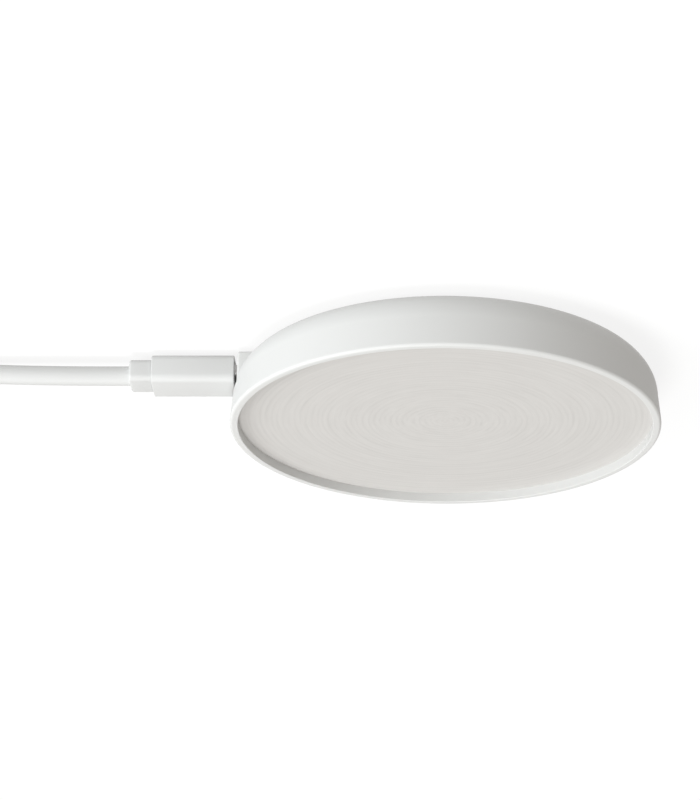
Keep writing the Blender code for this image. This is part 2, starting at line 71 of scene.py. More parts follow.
camera_data = bpy.data.cameras.new("camera")
camera_data.lens = LENS
camera_data.sensor_width = SENSOR
camera_data.clip_start = 0.01
camera = bpy.data.objects.new("camera", camera_data)
camera.location = STANDS_AT
line_of_view = Vector(
    (
        math.sin(LOOKS_ASIDE) * math.cos(LOOKS_DOWN),
        math.cos(LOOKS_ASIDE) * math.cos(LOOKS_DOWN),
        -math.sin(LOOKS_DOWN),
    )
)
camera.rotation_mode = "QUATERNION"
upright = line_of_view.to_track_quat("-Z", "Y")
camera.rotation_quaternion = upright @ Quaternion((0, 0, 1), ROLL)
bpy.context.scene.collection.objects.link(camera)
bpy.context.scene.camera = camera
print("camera looks along", [round(v, 3) for v in line_of_view])

# %% [markdown]
# ## Shader arithmetic
#
# A material is a graph of nodes, and writing every Math node by hand hides the idea.
# The class below wraps one socket, so that an expression such as `1 - 0.3 * grain`
# adds the Math nodes by itself.

# %% The socket wrapper
class Signal:
    """A value that flows out of a shader socket."""

    def __init__(self, tree, socket):
        self.tree, self.socket = tree, socket

    def math(self, operation, first, second):
        node = self.tree.nodes.new("ShaderNodeMath")
        node.operation = operation
        for slot, value in zip(node.inputs, (first, second)):
            feed(self.tree, slot, value)
        return Signal(self.tree, node.outputs[0])

    def __add__(self, other):
        return self.math("ADD", self, other)

    __radd__ = __add__

    def __sub__(self, other):
        return self.math("SUBTRACT", self, other)

    def __rsub__(self, other):
        return self.math("SUBTRACT", other, self)

    def __mul__(self, other):
        return self.math("MULTIPLY", self, other)

    __rmul__ = __mul__

    def __truediv__(self, other):
        return self.math("DIVIDE", self, other)

    def __rtruediv__(self, other):
        return self.math("DIVIDE", other, self)

    def __pow__(self, other):
        return self.math("POWER", self, other)

    def cosine(self):
        return self.math("COSINE", self, 0.0)


def feed(tree, slot, value):
    """Links a signal to a socket, or sets the socket to a number or a colour."""
    if isinstance(value, Signal):
        tree.links.new(value.socket, slot)
    elif slot.type == "RGBA":
        slot.default_value = (*value, 1.0)
    else:
        slot.default_value = value


print("a signal can be added, subtracted, multiplied, divided and raised to a power")

# %% [markdown]
# ## Graphs and finishes
#
# A graph grows by one method, `node`, which adds a node, makes its settings first and
# then fills or links its sockets. A finish is the graph of one material, with the three
# things that every finish here needs: noise of a given size in metres, a mix of two
# colours, and a bump of a given height.

# %% The graph and the finish
class Graph:
    """A node tree that grows one node at a time."""

    def __init__(self, tree, shader):
        self.tree, self.shader = tree, tree.nodes[shader]

    def set(self, **sockets):
        for name, value in sockets.items():
            feed(self.tree, self.shader.inputs[name.replace("_", " ")], value)

    def node(self, kind, settings=None, sockets=None, out=0):
        node = self.tree.nodes.new("ShaderNode" + kind)
        for name, value in (settings or {}).items():
            setattr(node, name, value)
        for name, value in (sockets or {}).items():
            feed(self.tree, node.inputs[name], value)
        return Signal(self.tree, node.outputs[out])


class Finish(Graph):
    """One material, built round its Principled shader."""

    def __init__(self, name, **constants):
        self.material = bpy.data.materials.new(name)
        self.material.use_nodes = True
        super().__init__(self.material.node_tree, "Principled BSDF")
        self.set(**constants)

    def place(self):
        """The point on the piece, in metres, fixed to the piece when it moves."""
        return self.node("TexCoord", out="Object")

    def grain(self, size, detail=2.0, rough=0.5, where=None):
        """Soft noise from 0 to 1 whose blotches are about `size` metres across."""
        where = where or self.place()
        sockets = {"Vector": where, "Scale": 1 / size, "Detail": detail, "Roughness": rough}
        return self.node("TexNoise", {"noise_dimensions": "3D"}, sockets)

    def mix(self, share, first, second):
        """A colour between two colours."""
        settings = {"data_type": "RGBA", "clamp_factor": True}
        return self.node("Mix", settings, {0: share, 6: first, 7: second}, out=2)

    def bump(self, height, depth):
        """A normal from a height that runs from 0 to 1 and is `depth` metres tall."""
        return self.node("Bump", None, {"Height": height, "Distance": depth})


print("a finish can:", [name for name in vars(Finish) if not name.startswith("__")])

# %% [markdown]
# ## White moulded plastic
#
# The cup is injection moulded in a white, satin plastic. Up close its skin is not
# smooth: the mould was spark eroded, which leaves a very fine, even grain. The colour
# is nearly flat, with a faint cloudiness from the pigment. A noise texture at a tenth
# of a millimetre makes the grain, and a much larger one makes the cloudiness. Handling
# rubs the gloss up in patches, so a third noise moves the roughness.

# %% The whites
def moulded(name, colour, shade, roughness, grain_size, grain_depth):
    """A satin moulded plastic with cloudy pigment and a fine spark-eroded skin."""
    finish = Finish(name, IOR=1.46, Specular_IOR_Level=0.38)
    clouds = finish.grain(9 * MM, detail=3.0)
    skin = finish.grain(grain_size, detail=3.0, rough=0.6)
    rubbed = finish.grain(3.5 * MM, detail=4.0)
    finish.set(
        Base_Color=finish.mix(clouds, colour, shade),
        Roughness=roughness + 0.10 * rubbed + 0.05 * skin,
        Normal=finish.bump(skin, grain_depth),
    )
    return finish.material


finishes = {
    "pad_white": moulded(
        "pad_white", (0.665, 0.667, 0.66), (0.65, 0.652, 0.645), 0.48, 0.12 * MM, 0.002 * MM
    ),
    "lead_white": moulded(
        "lead_white", (0.635, 0.638, 0.635), (0.62, 0.623, 0.618), 0.44, 0.16 * MM, 0.002 * MM
    ),
}
print("finishes so far:", sorted(finishes))

# %% [markdown]
# ## Handing a piece over
#
# Each new piece gets its finish, rides on the body it moves with, and hides the parts
# of the engineering model that it stands for. One helper does this, so no step is missed.

# %% The hand-over
def hand_over(piece, body, slot, replaced=()):
    """Gives a finished piece its material and its place in the model."""
    if piece.name not in bpy.context.scene.collection.objects:
        bpy.context.scene.collection.objects.link(piece)
    piece.data.materials.clear()
    piece.data.materials.append(finishes[slot])
    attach(piece, body)
    if replaced:
        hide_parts(*replaced)
    size = len(piece.data.polygons) if piece.type == "MESH" else 0
    print(piece.name, "rides on", body, "faces:", size)


def smooth(mesh, angle=35):
    """Shades a mesh smooth and keeps the edges that are sharper than an angle."""
    mesh.shade_smooth()
    mesh.set_sharp_from_angle(angle=math.radians(angle))


# %% [markdown]
# ## The lead
#
# About a metre of round 4.1 mm cable leaves the plug. A curve is the natural tool: its
# line is the cable's centre and its bevel is the cable's radius. It comes straight out
# of the plug, sinks to the floor under its own weight, and goes on out of the picture,
# where the spare length is wound into two layers of three turns. The lower layer winds
# inwards, and the upper one winds back out over it. Each pair below is a place along X
# and a height, in millimetres.

# %% The cable's route
PORT_Y, PORT_Z = -5.65 * MM, 3.9 * MM
CABLE = 4.1 * MM  # diameter
TURNS = 3
OUTER_TURN = 29.5 * MM
COIL_X, COIL_Y = 144 * MM, PORT_Y + OUTER_TURN
LOWER_LAYER, UPPER_LAYER = 2.95 * MM, 7.05 * MM
POINTS_PER_TURN = 16
CLIMB = 0.35  # of a turn, from the lower layer to the upper

lead_out = [
    (65.6, 3.9), (69.2, 3.9), (72.3, 3.89), (75.5, 3.88), (78.6, 3.85), (81.6, 3.81),
    (84.6, 3.76), (87.9, 3.69), (91.2, 3.59), (94.5, 3.46), (99.5, 3.26), (104.5, 3.1),
    (110.0, 2.99), (115.8, 2.95), (121.8, 2.95), (127.8, 2.95), (133.0, 2.95), (138.5, 2.95),
]
tail_out = [
    (149.5, 7.05), (154.8, 7.03), (160.2, 6.9), (164.5, 6.1), (169.5, 4.8), (174.0, 4.2),
    (178.0, 4.1), (180.0, 4.1),
]


def coil_points():
    """The two layers of turns, which start and end on the line of the lead."""
    count = TURNS * POINTS_PER_TURN
    inner = OUTER_TURN - TURNS * CABLE
    for i in range(2 * count + 1):
        share = i / count
        radius = OUTER_TURN - share * (OUTER_TURN - inner)
        if share > 1:
            radius = inner + (share - 1) * (OUTER_TURN - inner)
        angle = -math.pi / 2 + 2 * math.pi * i / POINTS_PER_TURN
        climb = min(max((i - count) / (CLIMB * POINTS_PER_TURN) + 0.5, 0.0), 1.0)
        climb = climb * climb * (3 - 2 * climb)
        height = LOWER_LAYER + climb * (UPPER_LAYER - LOWER_LAYER)
        yield (COIL_X + radius * math.cos(angle), COIL_Y + radius * math.sin(angle), height)


route = [(x * MM, PORT_Y, z * MM) for x, z in lead_out]
route += list(coil_points())
route += [(x * MM, PORT_Y, z * MM) for x, z in tail_out]
length = sum(math.dist(a, b) for a, b in zip(route, route[1:]))
print("route points:", len(route), "length in m:", round(length, 3))

# %% [markdown]
# A Bezier spline with automatic handles passes through every point and stays round
# between them, so sixteen points are enough for each turn.

# %% The cable
cable_line = bpy.data.curves.new("lead_cable", "CURVE")
cable_line.dimensions = "3D"
cable_line.bevel_depth = CABLE / 2
cable_line.bevel_resolution = 7
cable_line.resolution_u = 6
cable_line.use_fill_caps = True
spline = cable_line.splines.new("BEZIER")
spline.bezier_points.add(len(route) - 1)
for point, place in zip(spline.bezier_points, route):
    point.co = place
    point.handle_left_type = point.handle_right_type = "AUTO"
cable = bpy.data.objects.new("lead_cable", cable_line)
hand_over(cable, "lead", "lead_white", ["cable", "cable_coil", "cable_tail"])

# %% [markdown]
# ## Rounded bars
#
# The plugs are all bars with rounded corners, some solid and some hollow. Each is
# made by sweeping a rounded rectangle along X: a list of sections says how wide, how
# tall and how round the bar is at each place, and faces join one section to the next.
# A few close sections at an end make the small rounded edge that catches light.

# %% The bar maker
def rounded_rectangle(width, height, corner, corner_points):
    """The outline of a rounded rectangle, anticlockwise, as (y, z) pairs."""
    corner = min(corner, 0.499 * width, 0.499 * height)
    for quarter, (across, up) in enumerate(((1, 1), (-1, 1), (-1, -1), (1, -1))):
        for i in range(corner_points + 1):
            angle = math.radians(90 * (quarter + i / corner_points))
            yield (
                across * (width / 2 - corner) + corner * math.cos(angle),
                up * (height / 2 - corner) + corner * math.sin(angle),
            )


def bar(name, sections, y, z, hollow=False, corner_points=8):
    """A bar along X from sections of (x, width, height, corner)."""
    form = bmesh.new()
    rings = []
    for x, width, height, corner in sections:
        outline = rounded_rectangle(width, height, corner, corner_points)
        rings.append([form.verts.new((x, y + a, z + b)) for a, b in outline])
    pairs = list(zip(rings, rings[1:]))
    if hollow:
        pairs.append((rings[-1], rings[0]))
    for one, two in pairs:
        for i in range(len(one)):
            j = (i + 1) % len(one)
            form.faces.new((one[i], one[j], two[j], two[i]))
    if not hollow:
        form.faces.new(rings[0])
        form.faces.new(rings[-1])
    bmesh.ops.recalc_face_normals(form, faces=form.faces)
    mesh = bpy.data.meshes.new(name)
    form.to_mesh(mesh)
    form.free()
    smooth(mesh)
    return bpy.data.objects.new(name, mesh)


def softened(start, end, width, height, corner, edge, steps=3):
    """Sections of a solid bar whose two ends have a rounded edge."""
    sections = []
    for i in range(steps + 1):
        angle = math.pi / 2 * i / steps
        inset = edge * (1 - math.sin(angle))
        at = start + edge * (1 - math.cos(angle))
        sections.append((at, width - 2 * inset, height - 2 * inset, max(corner - inset, 0.1 * MM)))
    mirrored = [(start + end - x, w, h, c) for x, w, h, c in reversed(sections)]
    return sections + mirrored


print("points round one bar:", len(list(rounded_rectangle(8 * MM, 5 * MM, 1 * MM, 8))))

# %% [markdown]
# ## The USB-C plug
#
# The plug's body is a plain satin block with flat faces and tight corners, and a
# smaller neck behind it takes the strain where the cable enters. Both are moulded over
# the cable in one shot, so they touch without a gap.

# %% The plug's body and neck
body = softened(43.7 * MM, 61.0 * MM, 10.3 * MM, 6.0 * MM, corner=1.5 * MM, edge=0.3 * MM)
plug_body = bar("plug_body", body, PORT_Y, PORT_Z)
hand_over(plug_body, "lead", "lead_white", ["plug_grip"])

neck = softened(60.8 * MM, 65.75 * MM, 8.0 * MM, 4.7 * MM, corner=1.2 * MM, edge=0.6 * MM, steps=5)
plug_neck = bar("plug_neck", neck, PORT_Y, PORT_Z)
hand_over(plug_neck, "lead", "lead_white", ["plug_collar"])

# %% [markdown]
# The metal shell of a USB-C plug is a seamless drawn tube with fully round sides. It
# shows only as a thin dark line between the plug and the pad, until the lead is pulled
# out. Its mouth is slightly rolled in, so it finds the socket.

# %% The USB-C shell
TUBE_WALL = 0.3 * MM


def drawn_tube(name, mouth, root, width, height, corner, y, z):
    """A thin-walled tube whose mouth, at the lower x or the higher, is rolled in."""
    inward = 1 if root > mouth else -1
    inner_corner = corner - TUBE_WALL
    steps = [  # how far in from the mouth, how much smaller, and the corner
        (0.25 * MM, 0.0, corner),
        (0.08 * MM, 0.12 * MM, corner),
        (0.0, 0.3 * MM, corner),
        (0.05 * MM, 2 * TUBE_WALL, corner),
        (0.25 * MM, 2 * TUBE_WALL, inner_corner),
    ]
    sections = [(root, width, height, corner)]
    sections += [(mouth + inward * x, width - d, height - d, c) for x, d, c in steps]
    sections.append((root, width - 2 * TUBE_WALL, height - 2 * TUBE_WALL, inner_corner))
    return bar(name, sections, y, z, hollow=True)


print("tube wall in mm:", round(TUBE_WALL / MM, 2))

# %% [markdown]
# ## Metals
#
# Plated steel is bright but never a perfect mirror. Drawing and plating leave faint
# lines along the part and patches of slightly different gloss, so the roughness varies
# and the colour hardly at all.

# %% The metals
def plated(name, colour, shade, roughness, line_size):
    """Bright plating with faint lines along X and patchy gloss."""
    finish = Finish(name, Metallic=1.0)
    along_x = {"Vector": finish.place(), "Scale": (0.08, 1.0, 1.0)}
    stretch = finish.node("Mapping", {"vector_type": "POINT"}, along_x)
    lines = finish.grain(line_size, detail=4.0, where=stretch)
    patches = finish.grain(1.8 * MM, detail=3.0)
    finish.set(
        Base_Color=finish.mix(patches, colour, shade),
        Roughness=roughness + 0.16 * lines + 0.08 * patches,
        Normal=finish.bump(lines, 0.004 * MM),
    )
    return finish.material


finishes["bright_steel"] = plated(
    "bright_steel", (0.52, 0.51, 0.50), (0.44, 0.435, 0.43), 0.28, 0.15 * MM
)

plug_tube = drawn_tube(
    "plug_tube", 37.1 * MM, 46.2 * MM, 8.24 * MM, 2.46 * MM, 1.22 * MM, PORT_Y, PORT_Z
)
hand_over(plug_tube, "lead", "bright_steel", ["plug_shell"])

# %% [markdown]
# ## The pad's shell
#
# The shell is a shallow cup, so it starts as a profile turned about Z. The wall leans
# in slightly towards the base, because a moulding needs draft to leave its mould, and
# then rounds under. The port block, the pocket in front of it, the opening for the plug
# and the hollow screw posts inside are added and cut with Booleans, as a toolmaker
# would add them to the mould.

# %% Turned forms
def arc(centre_x, centre_z, radius, start, end, count):
    """Points on a round, from one angle in degrees to another."""
    for i in range(count + 1):
        angle = math.radians(start + (end - start) * i / count)
        yield centre_x + radius * math.cos(angle), centre_z + radius * math.sin(angle)


def turned(name, profile, steps):
    """A solid turned about Z from (radius, height) points that start and end on Z."""
    form = bmesh.new()
    rings = []
    for radius, height in profile:
        around = [
            (radius * math.cos(2 * math.pi * i / steps), radius * math.sin(2 * math.pi * i / steps))
            for i in range(steps if radius > 1e-9 else 1)
        ]
        rings.append([form.verts.new((x, y, height)) for x, y in around])
    for low, high in zip(rings, rings[1:]):
        for i in range(steps):
            j = (i + 1) % steps
            below = [low[i % len(low)], low[j % len(low)]]
            above = [high[j % len(high)], high[i % len(high)]]
            form.faces.new(list(dict.fromkeys(below + above)))
    bmesh.ops.recalc_face_normals(form, faces=form.faces)
    mesh = bpy.data.meshes.new(name)
    form.to_mesh(mesh)
    form.free()
    smooth(mesh)
    return bpy.data.objects.new(name, mesh)


print("points on a round edge:", len(list(arc(0.0, 0.0, 1 * MM, 90, 0, 7))))

# %% [markdown]
# The profile runs from the middle of the inner floor, over the ledge that carries the
# ringed plate, over the rim, down the wall and round under to the base, which has a
# groove for the non-slip ring. The rim's inner edge is crisp and its outer edge softer.

# %% The cup's profile
PAD_RADIUS, PAD_TOP, BASE = 45 * MM, 13.7 * MM, 0.4 * MM
RIM, LEDGE = 1.7 * MM, 9.2 * MM
INNER_EDGE, OUTER_EDGE = 0.15 * MM, 0.65 * MM
WALL_FOOT, BASE_ROUND = 44.44 * MM, 7 * MM
GROOVE_INNER, GROOVE_OUTER, GROOVE_TOP = 29.0 * MM, 33.0 * MM, 1.1 * MM
GROOVE_EDGE = 0.12 * MM
INNER_RADIUS, INNER_ROUND, FLOOR_TOP = 42 * MM, 5.4 * MM, 2.0 * MM


def cup_profile():
    """From the middle of the inner floor, over the rim and down to the base."""
    yield 0.0, FLOOR_TOP
    yield from arc(INNER_RADIUS - INNER_ROUND, FLOOR_TOP + INNER_ROUND, INNER_ROUND, -90, 0, 8)
    yield INNER_RADIUS, LEDGE
    inner = PAD_RADIUS - RIM
    yield inner, LEDGE
    yield from arc(inner + INNER_EDGE, PAD_TOP - INNER_EDGE, INNER_EDGE, 180, 90, 5)
    yield from arc(PAD_RADIUS - OUTER_EDGE, PAD_TOP - OUTER_EDGE, OUTER_EDGE, 90, 0, 7)
    yield from arc(WALL_FOOT - BASE_ROUND, BASE + BASE_ROUND, BASE_ROUND, 0, -90, 24)
    yield GROOVE_OUTER + GROOVE_EDGE, BASE
    yield GROOVE_OUTER, BASE + GROOVE_EDGE
    yield GROOVE_OUTER, GROOVE_TOP
    yield GROOVE_INNER, GROOVE_TOP
    yield GROOVE_INNER, BASE + GROOVE_EDGE
    yield GROOVE_INNER - GROOVE_EDGE, BASE
    yield 0.0, BASE


shell = turned("pad_shell", cup_profile(), steps=240)
bpy.context.scene.collection.objects.link(shell)
print("cup faces:", len(shell.data.polygons))

# %% [markdown]
# A Boolean needs a second object as its tool. Each tool is used once, its result is
# written into the shell's mesh, and the tool is thrown away.

# %% Boolean helper and tools
def carve(piece, tool, operation):
    """Joins a tool to a piece or cuts it out, and removes the tool."""
    bpy.context.scene.collection.objects.link(tool)
    step = piece.modifiers.new("carve", "BOOLEAN")
    step.operation = operation
    step.solver = "EXACT"
    step.object = tool
    graph = bpy.context.evaluated_depsgraph_get()
    result = bpy.data.meshes.new_from_object(piece.evaluated_get(graph))
    piece.modifiers.clear()
    piece.data = result
    bpy.data.objects.remove(tool)


def post(x, y, radius, low, high):
    """An upright round post or drill."""
    tool = turned("post", [(0.0, low), (radius, low), (radius, high), (0.0, high)], 32)
    tool.data.transform(Matrix.Translation((x, y, 0)))
    return tool


def block(low, high, edge):
    """A block between two corners with rounded edges."""
    form = bmesh.new()
    bmesh.ops.create_cube(form, size=1.0)
    sides = [b - a for a, b in zip(low, high)]
    middle = [(a + b) / 2 for a, b in zip(low, high)]
    bmesh.ops.scale(form, vec=sides, verts=form.verts)
    bmesh.ops.translate(form, vec=middle, verts=form.verts)
    if edge:
        bmesh.ops.bevel(
            form, geom=list(form.edges), offset=edge, segments=4, profile=0.5, affect="EDGES"
        )
    mesh = bpy.data.meshes.new("block")
    form.to_mesh(mesh)
    form.free()
    return bpy.data.objects.new("block", mesh)


print("boolean tools: post and block")

# %% [markdown]
# The port block stands inside the wall and the pocket leaves its face bare, so the plug
# can sit low in the wall. Three tall posts take the screws of the coil's tray and two
# short ones those of the circuit board. The opening for the plug comes last, through
# the block's face.

# %% The port block, its pocket and the screw posts
PORT_BACK, PORT_FACE, POCKET_END = 38.5 * MM, 43 * MM, 48 * MM
BLOCK_FOOT, BLOCK_TOP, POCKET_TOP = 0.9 * MM, 8.7 * MM, 7.2 * MM
side_low, side_high = PORT_Y - 6.45 * MM, PORT_Y + 6.45 * MM
TRAY_CIRCLE, POST_FOOT = 34 * MM, 1.2 * MM
BOARD_POSTS = ((11.5 * MM, -12.5 * MM), (11.5 * MM, 7.5 * MM))

port_block = block((PORT_BACK, side_low, BLOCK_FOOT), (PORT_FACE, side_high, BLOCK_TOP), 0.5 * MM)
carve(shell, port_block, "UNION")
for angle in map(math.radians, (60, 180, 300)):
    x, y = TRAY_CIRCLE * math.cos(angle), TRAY_CIRCLE * math.sin(angle)
    carve(shell, post(x, y, 2.8 * MM, POST_FOOT, 6.6 * MM), "UNION")
    carve(shell, post(x, y, 1.3 * MM, 3.2 * MM, 9.0 * MM), "DIFFERENCE")
for x, y in BOARD_POSTS:
    carve(shell, post(x, y, 2.1 * MM, POST_FOOT, 3.2 * MM), "UNION")
    carve(shell, post(x, y, 1.1 * MM, POST_FOOT, 5.0 * MM), "DIFFERENCE")
pocket = block((PORT_FACE, side_low - 4 * MM, -1 * MM), (POCKET_END, side_high, POCKET_TOP), 0.0)
carve(shell, pocket, "DIFFERENCE")
opening = softened(34.5 * MM, 43.3 * MM, 9.64 * MM, 3.86 * MM, corner=1.93 * MM, edge=0.1 * MM)
carve(shell, bar("opening", opening, PORT_Y, PORT_Z), "DIFFERENCE")
smooth(shell.data)
even = shell.modifiers.new("even shading", "WEIGHTED_NORMAL")
even.keep_sharp = True
hand_over(shell, "pad", "pad_white", ["base_shell"])

# %% [markdown]
# ## The ringed plate
#
# The plate that the phone lies on has fine concentric rings. They are real grooves
# here, a few thousandths of a millimetre deep: the profile is a row of shallow waves,
# turned about Z like the cup. What the eye sees most is that each groove is a little
# darker than the land beside it, and unevenly so along its length. That darkness is
# painted shade: the finish draws it into the colour with a cosine of the radius and a
# noise that is stretched round Z, and the same noise also streaks the grey round Z.

# %% The ringed plate and its finish
PLATE_TOP, PLATE_UNDER, PLATE_RADIUS = 11.7 * MM, 10.1 * MM, 43.3 * MM
RING_PITCH, RING_DEPTH = 1.19 * MM, 0.006 * MM
POINTS_PER_RING, PLAIN_EDGE = 8, 0.3 * MM
SCATTER = 12.9898  # any number without a simple ratio to a turn spreads the depths


def plate_profile():
    """From the middle of the ringed face out to its edge and back underneath."""
    rings = int((PLATE_RADIUS - PLAIN_EDGE) / RING_PITCH)
    yield 0.0, PLATE_TOP
    for i in range(1, rings * POINTS_PER_RING + 1):
        wave = (0.5 - 0.5 * math.cos(2 * math.pi * i / POINTS_PER_RING)) ** 2
        uneven = 0.7 + 0.3 * math.sin(SCATTER * (i // POINTS_PER_RING) ** 2)
        yield RING_PITCH * i / POINTS_PER_RING, PLATE_TOP - RING_DEPTH * uneven * wave
    yield PLATE_RADIUS, PLATE_TOP
    yield PLATE_RADIUS, PLATE_UNDER
    yield 0.0, PLATE_UNDER


def ringed(name, colour, shade, roughness):
    """A warm grey satin face with painted shade in its grooves, and marks that run round Z."""
    finish = Finish(name, IOR=1.46, Specular_IOR_Level=0.25)
    spot = finish.node("SeparateXYZ", None, {"Vector": finish.place()})
    x, y = spot, Signal(finish.tree, spot.socket.node.outputs["Y"])
    radius = (x * x + y * y) ** 0.5
    groove = 0.5 - 0.5 * (radius * (2 * math.pi / RING_PITCH)).cosine()
    aside = 1.5 * MM / radius
    round_z = finish.node("CombineXYZ", None, {"X": x * aside, "Y": y * aside, "Z": radius})
    marks = finish.grain(0.8 * MM, detail=5.0, rough=0.75, where=round_z)
    # Painted shade: the colour darkens in each groove, unevenly along it where the marks run; the
    # marks alone also streak the grey round Z.
    lines = 0.2 * groove ** 2 + 0.4 * groove * (3 * marks - 1.5)
    skin = finish.grain(0.14 * MM, detail=3.0)
    finish.set(
        Base_Color=finish.mix(lines + 1.2 * marks - 0.3, colour, shade),
        Roughness=roughness + 0.10 * marks + 0.08 * skin,
        Normal=finish.bump(skin, 0.002 * MM),
    )
    return finish.material


finishes["ringed_grey"] = ringed(
    "ringed_grey", (0.605, 0.592, 0.576), (0.530, 0.518, 0.503), 0.42
)
plate = turned("ringed_plate", plate_profile(), steps=240)
hand_over(plate, "pad", "ringed_grey", ["top_plate"])

# %% [markdown]
# ## The tie round the coil
#
# A hook-and-loop strap holds the spare cable. It goes once round the bundle where the
# six strands lie side by side, and its end is pressed down over itself.

# %% The tie
BUNDLE_Y = COIL_Y + OUTER_TURN - TURNS * CABLE / 2 - CABLE / 4
BUNDLE_Z = (LOWER_LAYER + UPPER_LAYER) / 2
STRAP_WIDE, STRAP_THICK = 5 * MM, 0.6 * MM
OUTER_CORNER, INNER_CORNER = 2.4 * MM, 1.9 * MM

inside = (13.0 * MM, 8.5 * MM)
outside = tuple(s + 2 * STRAP_THICK for s in inside)
start, end = COIL_X - STRAP_WIDE / 2, COIL_X + STRAP_WIDE / 2
band = [
    (start, *outside, OUTER_CORNER), (end, *outside, OUTER_CORNER),
    (end, *inside, INNER_CORNER), (start, *inside, INNER_CORNER),
]
finishes["tie_white"] = moulded(
    "tie_white", (0.72, 0.72, 0.71), (0.66, 0.66, 0.65), 0.8, 0.3 * MM, 0.05 * MM
)
tie = bar("coil_strap", band, BUNDLE_Y, BUNDLE_Z, hollow=True)
hand_over(tie, "lead", "tie_white", ["cable_tie"])

SET_IN, PRESSED_IN = 0.1 * MM, 0.05 * MM
tongue_z = BUNDLE_Z + outside[1] / 2 + STRAP_THICK / 2 - PRESSED_IN
strip = softened(start + SET_IN, end - SET_IN, 8 * MM, STRAP_THICK, corner=0.3 * MM, edge=0.12 * MM)
tongue = bar("strap_end", strip, BUNDLE_Y - 1.2 * MM, tongue_z)
hand_over(tongue, "lead", "tie_white")

# %% [markdown]
# ## The USB-A plug
#
# The far end is an ordinary USB-A plug: a moulded grip with a short neck, a folded
# steel shell with two square latch windows in each face, and a black contact carrier.

# %% The far plug
FAR_Z = 4.1 * MM
neck = softened(178.8 * MM, 182.4 * MM, 8.0 * MM, 4.9 * MM, corner=1.0 * MM, edge=0.4 * MM)
body = softened(182.0 * MM, 200.8 * MM, 15.4 * MM, 7.6 * MM, corner=1.8 * MM, edge=0.5 * MM)
neck_start = neck[: len(neck) // 2]  # the other half of the neck is inside the body
far_grip = bar("far_plug_body", neck_start + body, PORT_Y, FAR_Z)
hand_over(far_grip, "lead", "lead_white", ["far_plug_collar", "far_plug_grip"])

far_tube = drawn_tube(
    "far_plug_tube", 212.8 * MM, 198.8 * MM, 12 * MM, 4.5 * MM, 0.5 * MM, PORT_Y, FAR_Z
)
bpy.context.scene.collection.objects.link(far_tube)
WINDOW_START, WINDOW, WINDOW_ASIDE, THROUGH = 204.6 * MM, 2.2 * MM, 2.7 * MM, 4 * MM
for side in (-1, 1):
    middle = PORT_Y + side * WINDOW_ASIDE
    window = block(
        (WINDOW_START, middle - WINDOW / 2, FAR_Z - THROUGH),
        (WINDOW_START + WINDOW, middle + WINDOW / 2, FAR_Z + THROUGH), 0.0,
    )
    carve(far_tube, window, "DIFFERENCE")
smooth(far_tube.data)
hand_over(far_tube, "lead", "bright_steel", ["far_plug_shell"])

# %% [markdown]
# ## The cord's facts
#
# The cord's length, where it leaves the object and the pieces it carries are gathered
# here.

carried = [plug_body, plug_neck, tie, tongue, far_grip, far_tube, plug_tube]
carried += [frame["nodes"]["plug_inner_block"], frame["nodes"]["far_plug_block"]]
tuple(route[0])
print("cord declared:", round(length, 3), "m with", len(carried), "pieces on it")

# %% [markdown]
# ## What stays from the engineering model
#
# The parts inside the pad keep their engineering shapes and get real finishes. They
# are made by a few recipes: a matte surface with a grain, which suits tape, rubber,
# plastic, ferrite and ceramic, lacquered copper that shows its strands, and a solder
# mask over the faint weave of the board.

# %% Finishes for the inside
def matte(name, colour, shade, roughness, size, depth):
    """A matte surface with mottled colour and a soft grain."""
    finish = Finish(name, Specular_IOR_Level=0.4)
    blotches = finish.grain(size * 12, detail=4.0)
    skin = finish.grain(size, detail=3.0)
    finish.set(
        Base_Color=finish.mix(blotches, colour, shade),
        Roughness=roughness + 0.15 * skin,
        Normal=finish.bump(skin, depth),
    )
    return finish.material


def strands(name, colour, shade, pitch, depth):
    """Lacquered copper strands that run round Z in fine rings, with painted shade between them."""
    finish = Finish(name, Metallic=1.0, Coat_Weight=0.5, Coat_Roughness=0.15)
    wave = finish.node(
        "TexWave",
        {"wave_type": "RINGS", "rings_direction": "Z", "wave_profile": "SIN"},
        {"Vector": finish.place(), "Scale": 1 / (math.pi * pitch), "Distortion": 0.0},
    )
    patches = finish.grain(2 * MM, detail=3.0)
    finish.set(
        # Painted shade between the strands: the colour darkens where the bump is low, and patches
        # vary the tone.
        Base_Color=finish.mix(wave * 0.7 + patches * 0.3, shade, colour),
        Roughness=0.42 - 0.12 * wave,
        Normal=finish.bump(wave, depth),
    )
    return finish.material


def solder_mask(name, colour, shade):
    """Green solder mask, glossy, over the weave of the board."""
    finish = Finish(name, Coat_Weight=0.6, Coat_Roughness=0.1)
    weave = finish.node(
        "TexChecker", None, {"Vector": finish.place(), "Scale": 1 / (0.4 * MM)}, out=1
    )
    clouds = finish.grain(3 * MM, detail=3.0)
    finish.set(
        Base_Color=finish.mix(0.3 * weave + 0.7 * clouds, colour, shade),
        Roughness=0.38 + 0.1 * clouds,
        Normal=finish.bump(finish.grain(0.3 * MM), 0.004 * MM),
    )
    return finish.material


